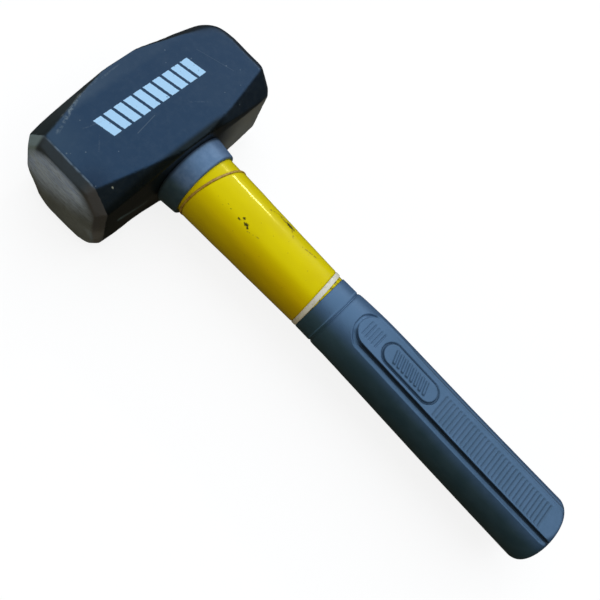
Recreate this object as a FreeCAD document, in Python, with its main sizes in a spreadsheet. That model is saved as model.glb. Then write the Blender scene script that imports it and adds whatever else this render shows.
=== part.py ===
import FreeCAD, Part
import math
import os
import Sketcher

# Lump hammer lying on its back cheek, millimetres, Z up.
# X runs from the head down the handle to the butt, Y runs along the head from one
# striking face to the other, Z is the cheek normal.  Z = 0 is the back cheek.

os.makedirs("parts", exist_ok=True)
doc = FreeCAD.newDocument("lump_hammer")

# ---------------------------------------------------------------- driving sizes
SIZES = {
    # forged head
    "head_thickness": 47.0,        # cheek to cheek
    "head_half_height": 23.4,      # eye side to handle side, halved, at the eye
    "end_half_height": 22.3,       # the same at the start of the face bevel
    "head_half_length": 51.6,      # middle of the head to a striking face
    "face_flat_radius": 6.0,       # flat middle of each striking face
    "face_crown_radius": 106.0,    # shallow crown from the flat to the bevel
    "face_crown_run": 22.0,        # how far out from the flat the crown is turned
    "face_bevel_run": 5.1,         # bevel round each striking face, along the head
    "face_bevel_drop": 4.15,       # and across it
    "cheek_end_half": 14.1,        # half height of the flat cheek at the bevel
    "side_end_half": 12.9,         # half width of the flat side at the bevel
    "facet_slope": 0.22,           # how fast the corner facets run out to the middle
    "head_edge_radius": 0.8,       # forged corners are all slightly soft
    "eye_low_radius": 12.0,        # tapered eye, handle side
    "eye_top_radius": 13.8,        # and top
    "resin_recess": 1.2,           # resin stops short of the top of the eye
    "rod_recess": 0.6,             # rod stands this far above the resin
    # shaft
    "rod_radius": 10.0,
    "rod_end": 226.0,
    "jacket_end": 230.0,
    "jacket_head_radius": 15.0,
    "neck_radius": 15.55,
    "sleeve_start": 38.9,          # skewed top edge of the wrap, on the centre line
    "sleeve_skew": 12.5,           # degrees
    "sleeve_wall": 0.35,
    "sleeve_top_radius": 15.9,
    "sleeve_low_radius": 14.35,
    "bead_width": 0.8,
    "bead_rise": 0.28,
    "ring_start": 100.9,           # skewed white ring, on the centre line
    "ring_width": 2.3,
    "ring_skew": 4.0,              # degrees
    "ring_rise": 0.12,
    "grip_seat_radius": 12.4,
    # rubber collar under the head
    "collar_end": 33.6,
    "collar_top_radius": 18.2,
    "collar_low_radius": 17.3,
    "collar_lip": 0.8,
    # rubber grip
    "grip_start": 104.2,
    "grip_end": 242.6,
    "band_radius": 14.4,
    "band_end": 112.4,
    "band_groove": 1.3,
    "shoulder_radius": 14.8,
    "belly_start": 134.0,
    "belly_radius": 15.4,
    "butt_start": 237.1,
    "butt_radius": 16.3,
    "butt_round": 4.0,
    "butt_dome": 0.8,
    "grip_skew": 0.43,             # degrees the grip sits off the shaft line
    "skew_centre": 209.0,          # where the two lines cross
    # long flat panel on each broad side of the grip
    "panel_start": 120.7,
    "panel_half_width": 7.15,
    "panel_height": 14.1,
    "panel_rise": 0.3,             # degrees, follows the swell of the grip
    "gutter_width": 2.3,
    "gutter_end_width": 1.2,
    "gutter_depth": 0.9,
    "rib_start": 170.0,
    "rib_pitch": 2.07,
    "rib_width": 1.1,
    "rib_depth": 0.35,
    "rib_half_length": 6.1,
    "top_rib_start": 125.9,
    "top_rib_pitch": 1.9,
    "badge_start": 136.4,
    "badge_end": 167.0,
    "badge_half_width": 5.0,
    "badge_rise": 0.5,
}
RIBS = 31
TOP_RIBS = 5
SPARE = 6.0                        # extra length or radius that a later cut takes off

sheet = doc.addObject("Spreadsheet::Sheet", "Sizes")
for row, (alias, number) in enumerate(SIZES.items(), start=1):
    sheet.set("A%d" % row, alias)
    sheet.set("B%d" % row, str(number))
    sheet.setAlias("B%d" % row, alias)
doc.recompute()


class Cell:
    """A size taken from the sheet together with the expression that drives it."""

    def __init__(self, value, text):
        self.value, self.text = float(value), text

    def join(self, other, sign, result):
        text = other.text if isinstance(other, Cell) else repr(float(other))
        return Cell(result, "(%s %s %s)" % (self.text, sign, text))

    def __add__(self, other):
        return self.join(other, "+", self.value + number(other))

    def __sub__(self, other):
        return self.join(other, "-", self.value - number(other))

    def __mul__(self, other):
        return self.join(other, "*", self.value * number(other))

    def __truediv__(self, other):
        return self.join(other, "/", self.value / number(other))


def number(size):
    return size.value if isinstance(size, Cell) else float(size)


def size(alias):
    return Cell(sheet.get(alias), "Sizes." + alias)


def tangent(angle):
    """Tangent of an angle held in degrees."""
    return Cell(math.tan(math.radians(angle.value)), "tan(%s * 1deg)" % angle.text)


ZERO = Cell(0.0, "0")
half_thickness = size("head_thickness") / 2.0


# ---------------------------------------------------------------- small helpers
def new_body(label):
    """Body whose own XY plane is the middle plane of the hammer."""
    body = doc.addObject("PartDesign::Body", label)
    body.Label = label
    body.Placement = FreeCAD.Placement(FreeCAD.Vector(0, 0, half_thickness.value),
                                       FreeCAD.Rotation())
    body.setExpression("Placement.Base.z", half_thickness.text)
    return body


def new_sketch(body, name, role, offset=None):
    sketch = body.newObject("Sketcher::SketchObject", name)
    plane = [f for f in body.Origin.OriginFeatures if f.Role == role][0]
    sketch.AttachmentSupport = [(plane, "")]
    sketch.MapMode = "FlatFace"
    if offset is not None:
        sketch.AttachmentOffset = offset
    return sketch


def shift(z):
    return FreeCAD.Placement(FreeCAD.Vector(0, 0, z), FreeCAD.Rotation())


def bind_point(sketch, geo, pos, x, y):
    """Hold a sketch point at the two sheet-driven coordinates."""
    for kind, coordinate in (("DistanceX", x), ("DistanceY", y)):
        index = sketch.addConstraint(
            Sketcher.Constraint(kind, -1, 1, geo, pos, number(coordinate)))
        if isinstance(coordinate, Cell):
            sketch.setExpression("Constraints[%d]" % index, coordinate.text)


def outline(sketch, points):
    """Closed run of straight edges through the given points."""
    vectors = [FreeCAD.Vector(number(x), number(y), 0) for x, y in points]
    count = len(points)
    for k in range(count):
        sketch.addGeometry(Part.LineSegment(vectors[k], vectors[(k + 1) % count]))
    for k in range(count):
        sketch.addConstraint(
            Sketcher.Constraint("Coincident", k, 2, (k + 1) % count, 1))
    for k, (x, y) in enumerate(points):
        bind_point(sketch, k, 1, x, y)


def turned(body, name, points, kind="Revolution"):
    """Shape turned about the handle line from (station, radius) points."""
    sketch = new_sketch(body, name + "_profile", "XY_Plane")
    outline(sketch, points)
    feature = body.newObject("PartDesign::" + kind, name)
    feature.Profile = sketch
    axis = [f for f in body.Origin.OriginFeatures if f.Role == "X_Axis"][0]
    feature.ReferenceAxis = (axis, [""])
    feature.Angle = 360
    body.Tip = feature
    return feature


def pocket(body, sketch, name, both_ways=True, flip=False):
    feature = body.newObject("PartDesign::Pocket", name)
    feature.Profile = sketch
    feature.Type = "ThroughAll"
    feature.Midplane = both_ways
    feature.Reversed = flip
    body.Tip = feature
    return feature


def mirror(body, features, name, role):
    plane = [f for f in body.Origin.OriginFeatures if f.Role == role][0]
    feature = body.newObject("PartDesign::Mirrored", name)
    feature.Originals = features
    feature.MirrorPlane = (plane, [""])
    body.Tip = feature
    return feature


# ---------------------------------------------------------------- forged head
def corner_cut(body, name, start, line_x, slope, lean, reach):
    """Flat facet on one octant of the head.

    A triangle lying outside the corner line is pushed along the head from the start
    station; the line crosses the cheek plane at line_x and moves in by lean per mm.
    """
    sketch = new_sketch(body, name + "_outline", "XZ_Plane", shift(-start.value))
    sketch.setExpression("AttachmentOffset.Base.z", "-1 * " + start.text)
    above, below = 3.0, 16.0
    top = half_thickness + slope * above
    outline(sketch, [(line_x - above, top), (line_x + below, half_thickness - slope * below),
                     (line_x + below, top)])
    cut = body.newObject("PartDesign::Pocket", name)
    cut.Profile = sketch
    cut.UseCustomVector = True
    cut.Direction = FreeCAD.Vector(-lean.value, 1, 0)
    cut.AlongSketchNormal = True
    cut.Length = reach.value
    cut.setExpression("Length", reach.text)
    body.Tip = cut


def crown_face(body, name, end):
    """Turn one end of the head to a flat spot inside a shallow crown."""
    length, flat, radius, run = [size(a) for a in (
        "head_half_length", "face_flat_radius", "face_crown_radius", "face_crown_run")]
    steps = 3
    curve = []
    for k in range(steps + 1):
        out = run * (k / steps)
        curve.append(((length - out.value ** 2 / (2 * radius.value)) * end, flat + out))
    clear = (length + SPARE) * end
    sketch = new_sketch(body, name + "_outline", "YZ_Plane")
    outline(sketch, curve + [(clear, flat + run), (clear, flat)])
    feature = body.newObject("PartDesign::Groove", name)
    feature.Profile = sketch
    axis = [f for f in body.Origin.OriginFeatures if f.Role == "Y_Axis"][0]
    feature.ReferenceAxis = (axis, [""])
    feature.Angle = 360
    body.Tip = feature


def build_head():
    body = new_body("hammer_head")
    length, run, drop = [size(a) for a in
                         ("head_half_length", "face_bevel_run", "face_bevel_drop")]
    middle, end = size("head_half_height"), size("end_half_height")
    shoulder = length - run

    # one octant: the side is a long shallow arc from the eye to the face bevel
    sketch = new_sketch(body, "side_outline", "XY_Plane")
    sag = middle.value - end.value
    radius = (shoulder.value ** 2 + sag ** 2) / (2 * sag)
    corners = [(ZERO, ZERO), (middle, ZERO), (end, shoulder), (end - drop, length),
               (ZERO, length)]
    vectors = [FreeCAD.Vector(x.value, y.value, 0) for x, y in corners]
    side = Part.Circle(FreeCAD.Vector(middle.value - radius, 0, 0),
                       FreeCAD.Vector(0, 0, 1), radius)
    count = len(corners)
    for k in range(count):
        if k == 1:
            arc = Part.ArcOfCircle(side, 0, math.asin(shoulder.value / radius))
            sketch.addGeometry(arc)
        else:
            sketch.addGeometry(Part.LineSegment(vectors[k], vectors[(k + 1) % count]))
    for k in range(count):
        sketch.addConstraint(Sketcher.Constraint("Coincident", k, 2, (k + 1) % count, 1))
    for k in range(count):
        bind_point(sketch, k, 1, *corners[k])
    sketch.addConstraint(Sketcher.Constraint("PointOnObject", 1, 3, -1))
    blank = body.newObject("PartDesign::Pad", "blank")
    blank.Profile = sketch
    blank.Length = half_thickness.value
    blank.setExpression("Length", half_thickness.text)

    # bevel between the cheek and the striking face
    bevel = new_sketch(body, "cheek_bevel_outline", "YZ_Plane")
    outline(bevel, [(shoulder, half_thickness), (length, half_thickness - drop),
                    (length, half_thickness)])
    pocket(body, bevel, "cheek_bevel")

    # long corner facet and the short bevel facet at its end
    cheek, flat = size("cheek_end_half"), size("side_end_half")
    slope = (half_thickness - flat) / (end - cheek)
    runout = size("facet_slope")
    corner_cut(body, "corner_facet", ZERO, cheek + runout * shoulder, slope, runout,
               length + run)
    inset = drop * (math.sqrt(1 + slope.value ** 2) / slope.value)
    corner_cut(body, "bevel_facet", shoulder - run, cheek + inset, slope, inset / run,
               run * 3.0)

    # the octant is mirrored into the whole head
    for name, role in (("both_sides", "YZ_Plane"), ("both_ends", "XZ_Plane"),
                       ("both_cheeks", "XY_Plane")):
        half = body.newObject("PartDesign::Mirrored", name)
        half.TransformMode = "Whole shape"
        half.MirrorPlane = ([f for f in body.Origin.OriginFeatures if f.Role == role][0], [""])
        body.Tip = half
        doc.recompute()
    crown_face(body, "near_crown", -1.0)
    crown_face(body, "far_crown", 1.0)
    low, top = size("eye_low_radius"), size("eye_top_radius")
    eye = turned(body, "eye", [(middle * -1.0, ZERO), (middle, ZERO), (middle, low),
                               (middle * -1.0, top)], "Groove")

    # soften every forged corner except the turned rims
    doc.recompute()
    shape = eye.Shape
    rims = [f for f in shape.Faces if f.Surface.TypeId == "Part::GeomCone"]
    kept = [e.hashCode() for f in rims for e in f.Edges]
    names = ["Edge%d" % k for k, e in enumerate(shape.Edges, start=1)
             if e.hashCode() not in kept]
    soft = body.newObject("PartDesign::Fillet", "soft_corners")
    soft.Base = (eye, names)
    soft.setExpression("Radius", size("head_edge_radius").text)
    body.Tip = soft
    return body


# ---------------------------------------------------------------- shaft
def build_rod():
    """Fibreglass rod, standing a little proud of the resin in the eye."""
    body = new_body("shaft_rod")
    start = size("resin_recess") - size("rod_recess") - size("head_half_height")
    end, radius = size("rod_end"), size("rod_radius")
    turned(body, "rod", [(start, ZERO), (end, ZERO), (end, radius), (start, radius)])
    return body


def build_resin():
    """Cast resin that fills the tapered eye round the rod."""
    body = new_body("eye_resin")
    middle = size("head_half_height")
    low, top, rod = size("eye_low_radius"), size("eye_top_radius"), size("rod_radius")
    start = size("resin_recess") - middle
    growth = (top - low) / (middle * 2.0)
    turned(body, "resin", [(start, rod), (middle, rod), (middle, low),
                           (start, low + growth * (middle - start))])
    return body


def sleeve_radius(station):
    """Outside radius of the yellow wrap, which tapers towards the grip."""
    fall = (size("sleeve_top_radius") - size("sleeve_low_radius")) / (
        size("ring_start") - size("sleeve_start"))
    return size("sleeve_top_radius") - fall * (station - size("sleeve_start"))


# the jacket is a plain neck up to the first corner and a long taper after the second
JACKET_CORNERS = [size("sleeve_start") - 4.0, size("sleeve_start") + 2.0]


def jacket_radius(station):
    """Outside radius of the jacket at one of its corners or beyond them."""
    if station.value <= JACKET_CORNERS[0].value:
        return size("neck_radius")
    return sleeve_radius(station) - size("sleeve_wall")


def build_jacket():
    """Moulded jacket over the rod: neck, tapered barrel and thinner grip seat."""
    body = new_body("shaft_jacket")
    head_side, seat, end = size("head_half_height"), size("grip_start"), size("jacket_end")
    rod, rod_end, tail = size("rod_radius"), size("rod_end"), size("grip_seat_radius")
    bend, kink = JACKET_CORNERS
    turned(body, "jacket", [
        (head_side, rod), (rod_end, rod), (rod_end, ZERO), (end, ZERO), (end, tail),
        (seat, tail), (seat, jacket_radius(seat)), (kink, jacket_radius(kink)),
        (bend, jacket_radius(bend)), (size("collar_end"), size("neck_radius")),
        (head_side, size("jacket_head_radius"))])
    return body


def skew_cut(body, name, station, angle, keep_after):
    """Trim a turned part along a plane leaning by the angle in plan view."""
    sketch = new_sketch(body, name + "_outline", "XY_Plane")
    lean, far = tangent(angle), size("head_thickness")
    side = 1.0 if keep_after else -1.0
    outline(sketch, [(station - lean * far, far * -1.0), (station + lean * far, far),
                     (station - far * side, far), (station - far * side, far * -1.0)])
    pocket(body, sketch, name)


def wrap_on_jacket(label, first, last, rise):
    """Tube that follows the jacket from first to last, proud of the wrap by rise."""
    body = new_body(label)
    corners = [p for p in JACKET_CORNERS if first.value < p.value < last.value]
    inside = [(x, jacket_radius(x)) for x in [first] + corners + [last]]
    turned(body, label + "_tube", inside + [(last, sleeve_radius(last) + rise),
                                            (first, sleeve_radius(first) + rise)])
    return body


def build_sleeve():
    """Glossy yellow wrap between the skewed bead and the skewed white ring."""
    start, ring = size("sleeve_start"), size("ring_start")
    body = wrap_on_jacket("shaft_sleeve", start - SPARE, ring + SPARE, ZERO)
    skew_cut(body, "top_end", start, size("sleeve_skew"), True)
    skew_cut(body, "low_end", ring, size("ring_skew") * -1.0, False)
    return body


def build_bead():
    """Thin brown bead of adhesive along the skewed top edge of the wrap."""
    start, width = size("sleeve_start"), size("bead_width")
    body = wrap_on_jacket("sleeve_bead", start - SPARE, start + SPARE, size("bead_rise"))
    skew_cut(body, "bead_top", start - width, size("sleeve_skew"), True)
    skew_cut(body, "bead_low", start, size("sleeve_skew"), False)
    return body


def build_ring():
    """White ring that closes the lower end of the wrap, leaning the other way."""
    start, width = size("ring_start"), size("ring_width")
    body = wrap_on_jacket("end_ring", start - SPARE, size("grip_start"), size("ring_rise"))
    lean = size("ring_skew") * -1.0
    skew_cut(body, "ring_top", start, lean, True)
    skew_cut(body, "ring_low", start + width, lean, False)
    return body


def build_collar():
    """Flared rubber collar squeezed between the head and the neck of the jacket."""
    body = new_body("head_collar")
    head_side, end, lip = [size(a) for a in ("head_half_height", "collar_end", "collar_lip")]
    low = size("collar_low_radius")
    turned(body, "collar", [
        (head_side, size("jacket_head_radius")), (end, size("neck_radius")),
        (end, low - lip), (end - lip * 0.3, low - lip * 0.3), (end - lip, low),
        (head_side, size("collar_top_radius"))])
    return body


# ---------------------------------------------------------------- grip
def stadium(sketch, start, half_width, end, round_end):
    """Long slot outline along X, rounded at the start and, if asked, at the end."""
    first = start + half_width
    last = end - half_width if round_end else end
    r = half_width.value
    corners = [(first, half_width), (first, half_width * -1.0),
               (last, half_width * -1.0), (last, half_width)]
    points = [FreeCAD.Vector(x.value, y.value, 0) for x, y in corners]

    def cap(centre, begin):
        circle = Part.Circle(FreeCAD.Vector(centre.value, 0, 0), FreeCAD.Vector(0, 0, 1), r)
        return Part.ArcOfCircle(circle, begin, begin + math.pi)

    sketch.addGeometry(cap(first, math.pi / 2))
    sketch.addGeometry(Part.LineSegment(points[1], points[2]))
    sketch.addGeometry(cap(last, -math.pi / 2) if round_end
                       else Part.LineSegment(points[2], points[3]))
    sketch.addGeometry(Part.LineSegment(points[3], points[0]))
    for k in range(4):
        sketch.addConstraint(Sketcher.Constraint("Coincident", k, 2, (k + 1) % 4, 1))
        bind_point(sketch, k, 1, *corners[k])
    for geo, middle in [(0, first)] + ([(2, last)] if round_end else []):
        index = sketch.addConstraint(
            Sketcher.Constraint("DistanceX", -1, 1, geo, 3, middle.value))
        sketch.setExpression("Constraints[%d]" % index, middle.text)


def panel_plane():
    """Plane of the flat panel: it climbs gently towards the butt."""
    rise = size("panel_rise").value
    return FreeCAD.Placement(
        FreeCAD.Vector(0, 0, size("panel_height").value
                       - size("panel_start").value * math.tan(math.radians(rise))),
        FreeCAD.Rotation(FreeCAD.Vector(0, 1, 0), -rise))


def rib_cuts(body, name, first, pitch, count, half_length):
    """Row of V grooves straight across the flat panel."""
    rise = size("panel_rise").value
    climb = size("panel_height").value - size("panel_start").value * math.tan(
        math.radians(rise))
    sketch = new_sketch(body, name + "_outline", "XZ_Plane", FreeCAD.Placement(
        FreeCAD.Vector(0, climb, 0), FreeCAD.Rotation(FreeCAD.Vector(0, 0, 1), rise)))
    half, depth, over = size("rib_width").value / 2, size("rib_depth").value, 1.0
    for k in range(count):
        x = first.value + k * pitch.value
        corners = [FreeCAD.Vector(x - half, 0, 0), FreeCAD.Vector(x, -depth, 0),
                   FreeCAD.Vector(x + half, 0, 0), FreeCAD.Vector(x + half, over, 0),
                   FreeCAD.Vector(x - half, over, 0)]
        for a in range(len(corners)):
            sketch.addGeometry(
                Part.LineSegment(corners[a], corners[(a + 1) % len(corners)]))
    cut = body.newObject("PartDesign::Pocket", name)
    cut.Profile = sketch
    cut.Midplane = True
    cut.Length = 2 * half_length.value
    cut.setExpression("Length", (half_length * 2.0).text)
    body.Tip = cut
    return cut


def build_grip():
    body = new_body("grip")
    start, end, dome = [size(a) for a in ("grip_start", "grip_end", "butt_dome")]
    band, band_end, notch = [size(a) for a in ("band_radius", "band_end", "band_groove")]
    shoulder, belly, butt = [size(a) for a in
                             ("shoulder_radius", "belly_radius", "butt_radius")]
    belly_start, butt_start = size("belly_start"), size("butt_start")
    skew, centre = math.radians(size("grip_skew").value), size("skew_centre").value
    lean = FreeCAD.Rotation(FreeCAD.Vector(0, 0, 1), -math.degrees(skew))
    pivot = FreeCAD.Vector(centre, 0, 0)
    body.setExpression("Placement.Base.z", None)
    body.Placement = FreeCAD.Placement(
        pivot - lean.multVec(pivot) + FreeCAD.Vector(0, 0, half_thickness.value), lean)

    # outside: band, notch, shoulder, long swell and domed butt; the extra length at the
    # start is trimmed square to the shaft when the grip is bored
    rim, trim = end - dome, 0.3
    early = start - trim
    turned(body, "outside", [
        (early, ZERO), (early, band - 0.2), (start + 0.6, band), (band_end, band + 0.1),
        (band_end + notch * 0.4, band - 0.35), (band_end + notch, shoulder - 0.15),
        (band_end + notch * 2.0, shoulder), (belly_start - 8.0, belly - 0.25),
        (belly_start, belly), (butt_start, butt), (rim, butt), (end, ZERO)])

    # gutter round each panel: open the window, then refill to the gutter floor
    wide = size("panel_half_width") + size("gutter_width")
    core, panel_depth = 6.0, 8.0    # windows stop at the core, panels reach back to it
    window = new_sketch(body, "window_outline", "XY_Plane", shift(core))
    stadium(window, size("panel_start"), wide, end + SPARE, False)
    opening = pocket(body, window, "window", both_ways=False, flip=True)
    mirror(body, [opening], "back_window", "XY_Plane")
    deep = size("gutter_depth")
    turned(body, "gutter_floor", [
        (band_end + notch * 2.0, ZERO), (band_end + notch * 2.0, shoulder - deep),
        (belly_start, belly - deep), (butt_start, butt - deep), (rim - deep, butt - deep),
        (end - deep, ZERO)])

    # flat panel, its ribs and the plain raised badge
    panel = new_sketch(body, "panel_outline", "XY_Plane", panel_plane())
    stadium(panel, size("panel_start") + size("gutter_end_width"),
            size("panel_half_width"), end, False)
    pad = body.newObject("PartDesign::Pad", "panel")
    pad.Profile = panel
    pad.Length = panel_depth
    pad.Reversed = True
    body.Tip = pad
    reach = size("rib_half_length")
    ribs = rib_cuts(body, "ribs", size("rib_start"), size("rib_pitch"), RIBS, reach)
    short = rib_cuts(body, "top_ribs", size("top_rib_start"), size("top_rib_pitch"),
                     TOP_RIBS, reach * 0.6)
    mirror(body, [pad, ribs, short], "back_panel", "XY_Plane")
    badge = new_sketch(body, "badge_outline", "XY_Plane", panel_plane())
    stadium(badge, size("badge_start"), size("badge_half_width"), size("badge_end"), True)
    plate = body.newObject("PartDesign::Pad", "badge")
    plate.Profile = badge
    plate.Midplane = True
    plate.Length = 2 * size("badge_rise").value
    plate.setExpression("Length", "2 * Sizes.badge_rise")
    body.Tip = plate

    # round the butt, then bore the grip along the true shaft line
    corner = size("butt_round")
    steps = 6
    arc = []
    for k in range(steps + 1):
        angle = math.radians(90.0 * k / steps)
        arc.append((rim - corner * (1 - math.sin(angle)),
                    butt - corner * (1 - math.cos(angle))))
    beyond, outside = end + SPARE, butt + SPARE
    turned(body, "butt_rounding", arc + [(beyond, butt - corner), (beyond, outside),
                                         (rim - corner, outside)], "Groove")
    seat, tail = size("grip_seat_radius"), size("jacket_end")
    bore = new_sketch(body, "bore_outline", "XY_Plane", body.Placement.inverse().multiply(
        FreeCAD.Placement(FreeCAD.Vector(0, 0, half_thickness.value), FreeCAD.Rotation())))
    outline(bore, [(start - SPARE, ZERO), (tail, ZERO), (tail, seat), (start, seat),
                   (start, outside), (start - SPARE, outside)])
    cut = body.newObject("PartDesign::Groove", "bore")
    cut.Profile = bore
    cut.ReferenceAxis = (bore, ["H_Axis"])
    cut.Angle = 360
    body.Tip = cut
    return body


# ---------------------------------------------------------------- build and write
BUILDERS = (build_head, build_rod, build_resin, build_jacket, build_collar, build_bead,
            build_sleeve, build_ring, build_grip)
parts = []
for build in BUILDERS:
    parts.append(build())
    doc.recompute()

for item in doc.Objects:
    if "Invalid" in item.State or "Error" in item.State:
        raise RuntimeError("%s did not build: %s" % (item.Name, item.State))
for item in parts:
    shape = item.Shape
    if shape.isNull() or not shape.isValid() or len(shape.Solids) != 1:
        raise RuntimeError("%s is not one sound solid" % item.Label)
    shape.exportStep("parts/%s.step" % item.Label)
    print("%-14s %9.1f mm3" % (item.Label, shape.Volume))
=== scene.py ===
import math

import bpy
import numpy as np
from mathutils import Euler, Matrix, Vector, noise


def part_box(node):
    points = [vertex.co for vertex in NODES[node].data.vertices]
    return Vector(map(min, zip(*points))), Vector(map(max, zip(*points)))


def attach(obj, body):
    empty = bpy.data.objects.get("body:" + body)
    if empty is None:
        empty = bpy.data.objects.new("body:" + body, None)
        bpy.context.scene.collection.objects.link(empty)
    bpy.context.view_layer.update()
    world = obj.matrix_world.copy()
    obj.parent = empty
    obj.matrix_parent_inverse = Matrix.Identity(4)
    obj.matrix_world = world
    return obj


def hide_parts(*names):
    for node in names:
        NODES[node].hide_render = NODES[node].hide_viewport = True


# Lump hammer lying on its back cheek.  Lengths below are millimetres in the CAD frame:
# X runs down the handle, Y along the head, Z up; the handle line is at height AXIS_Z.
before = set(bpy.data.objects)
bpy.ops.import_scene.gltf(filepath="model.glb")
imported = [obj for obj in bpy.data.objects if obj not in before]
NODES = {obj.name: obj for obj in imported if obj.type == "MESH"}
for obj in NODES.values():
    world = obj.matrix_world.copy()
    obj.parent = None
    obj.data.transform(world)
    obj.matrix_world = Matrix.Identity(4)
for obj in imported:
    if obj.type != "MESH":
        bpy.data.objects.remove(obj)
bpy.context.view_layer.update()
MM = 0.001
head_low, head_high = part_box("hammer_head")
AXIS_Z = (head_low.z + head_high.z) / 2 / MM


# ------------------------------------------------------------------ node helper
class Paint:
    """Wires one procedural material.  Inputs may be sockets or plain values."""

    def __init__(self, name):
        self.material = bpy.data.materials.new(name)
        self.material.use_nodes = True
        self.tree = self.material.node_tree
        self.shader = self.tree.nodes["Principled BSDF"]
        coordinates = self.tree.nodes.new("ShaderNodeTexCoord").outputs["Object"]
        self.place = self.add("VectorMath", {0: coordinates, "Scale": 1 / MM},
                              operation="SCALE").outputs[0]
        split = self.add("SeparateXYZ", {0: self.place})
        self.x, self.y = split.outputs[0], split.outputs[1]
        self.z = self.math("SUBTRACT", split.outputs[2], AXIS_Z)
        self.centred = self.add("VectorMath", {0: self.place, 1: (0, 0, AXIS_Z)},
                                operation="SUBTRACT").outputs[0]

    def add(self, kind, inputs, **settings):
        """New node of a kind, with its settings made and its inputs fed."""
        node = self.tree.nodes.new("ShaderNode" + kind)
        for key, value in settings.items():
            setattr(node, key, value)
        for key, value in inputs.items():
            self.feed(node.inputs[key], value)
        return node

    def feed(self, socket, value):
        """Link a socket to another one, or set it to a plain value."""
        if isinstance(value, bpy.types.NodeSocket):
            self.tree.links.new(value, socket)
        elif socket.type == "RGBA" and len(value) == 3:
            socket.default_value = (*value, 1.0)
        else:
            socket.default_value = value

    def math(self, operation, a, b=0.0, c=0.0, clamp=False):
        return self.add("Math", {0: a, 1: b, 2: c}, operation=operation,
                        use_clamp=clamp).outputs[0]

    def times(self, *factors):
        """Product of several values."""
        result = factors[0]
        for factor in factors[1:]:
            result = self.math("MULTIPLY", result, factor)
        return result

    def most(self, *values):
        """Largest of several values."""
        result = values[0]
        for value in values[1:]:
            result = self.math("MAXIMUM", result, value)
        return result

    def smooth(self, value, start, stop, low=0.0, high=1.0):
        """Smooth step of value from start to stop, giving low to high."""
        return self.add("MapRange", {"Value": value, "From Min": start, "From Max": stop,
                                     "To Min": low, "To Max": high},
                        interpolation_type="SMOOTHSTEP").outputs[0]

    def noise(self, size, detail=3.0, roughness=0.55, stretch=(1, 1, 1), offset=0.0):
        """Noise whose features are about size millimetres across, longer along stretch."""
        squeezed = self.add("VectorMath", {0: self.place,
                                           1: [1 / (size * s) for s in stretch],
                                           2: (offset, offset * 1.7, -offset)},
                            operation="MULTIPLY_ADD").outputs[0]
        return self.add("TexNoise", {"Vector": squeezed, "Scale": 1.0, "Detail": detail,
                                     "Roughness": roughness}).outputs[0]

    def spots(self, size, offset=0.0):
        """Distance to the nearest of scattered points, in units of size."""
        moved = self.add("VectorMath", {0: self.place, 1: [1 / size] * 3,
                                        2: (offset, -offset, offset * 0.3)},
                         operation="MULTIPLY_ADD").outputs[0]
        return self.add("TexVoronoi", {"Vector": moved, "Scale": 1.0}).outputs[0]

    def mix(self, factor, a, b, blend="MIX"):
        node = self.add("Mix", {0: factor, 6: a, 7: b}, data_type="RGBA", blend_type=blend)
        return node.outputs[2]

    def value_mix(self, factor, a, b):
        return self.add("Mix", {0: factor, 2: a, 3: b}, data_type="FLOAT").outputs[0]

    def attribute(self, name):
        """Value stored on the mesh by store()."""
        return self.add("Attribute", {}, attribute_name=name).outputs["Fac"]

    def bump(self, *layers):
        """Stack of (height, depth in millimetres) layers."""
        normal = None
        for height, depth in layers:
            inputs = {"Height": height, "Strength": 1.0, "Distance": depth * MM}
            if normal is not None:
                inputs["Normal"] = normal
            normal = self.add("Bump", inputs).outputs[0]
        self.feed(self.shader.inputs["Normal"], normal)

    def line_mark(self, start, stop, width, across="xy"):
        """1 on a straight stroke between two points of a plane, 0 away from it."""
        u, v = [{"x": self.x, "y": self.y, "z": self.z}[c] for c in across]
        (ax, ay), (bx, by) = start, stop
        length = math.hypot(bx - ax, by - ay)
        ux, uy = (bx - ax) / length, (by - ay) / length
        du, dv = self.math("SUBTRACT", u, ax), self.math("SUBTRACT", v, ay)
        along = self.math("ADD", self.times(du, ux), self.times(dv, uy))
        off = self.math("SUBTRACT", self.times(dv, ux), self.times(du, uy))
        from_middle = self.math("ABSOLUTE", self.math("SUBTRACT", along, length / 2))
        past = self.math("MAXIMUM", self.math("SUBTRACT", from_middle, length / 2), 0.0)
        distance = self.math("SQRT", self.math("ADD", self.times(off, off),
                                               self.times(past, past)))
        return self.smooth(distance, width * 0.25, width * 0.7, 1.0, 0.0)

    def finish(self, colour, roughness, **uniform):
        """Colour and roughness of the shader, and any value that is the same all over."""
        self.feed(self.shader.inputs["Base Color"], colour)
        self.feed(self.shader.inputs["Roughness"], roughness)
        for name, value in uniform.items():
            self.feed(self.shader.inputs[name.replace("_", " ")], value)
        return self.material


# ------------------------------------------------------------------ mesh helpers
def new_piece(name, verts, faces, material, node):
    """Visual piece from millimetre vertices that stands in for a CAD node."""
    mesh = bpy.data.meshes.new(name)
    mesh.from_pydata((np.asarray(verts) * MM).tolist(), [], faces)
    mesh.materials.append(material)
    mesh.shade_smooth()
    piece = bpy.data.objects.new(name, mesh)
    bpy.context.scene.collection.objects.link(piece)
    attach(piece, "root")
    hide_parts(node)
    return piece


def store(piece, name, values):
    """Keep one value for each vertex, for the paint to read."""
    piece.data.attributes.new(name, "FLOAT", "POINT").data.foreach_set(
        "value", np.asarray(values, np.float32))


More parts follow.
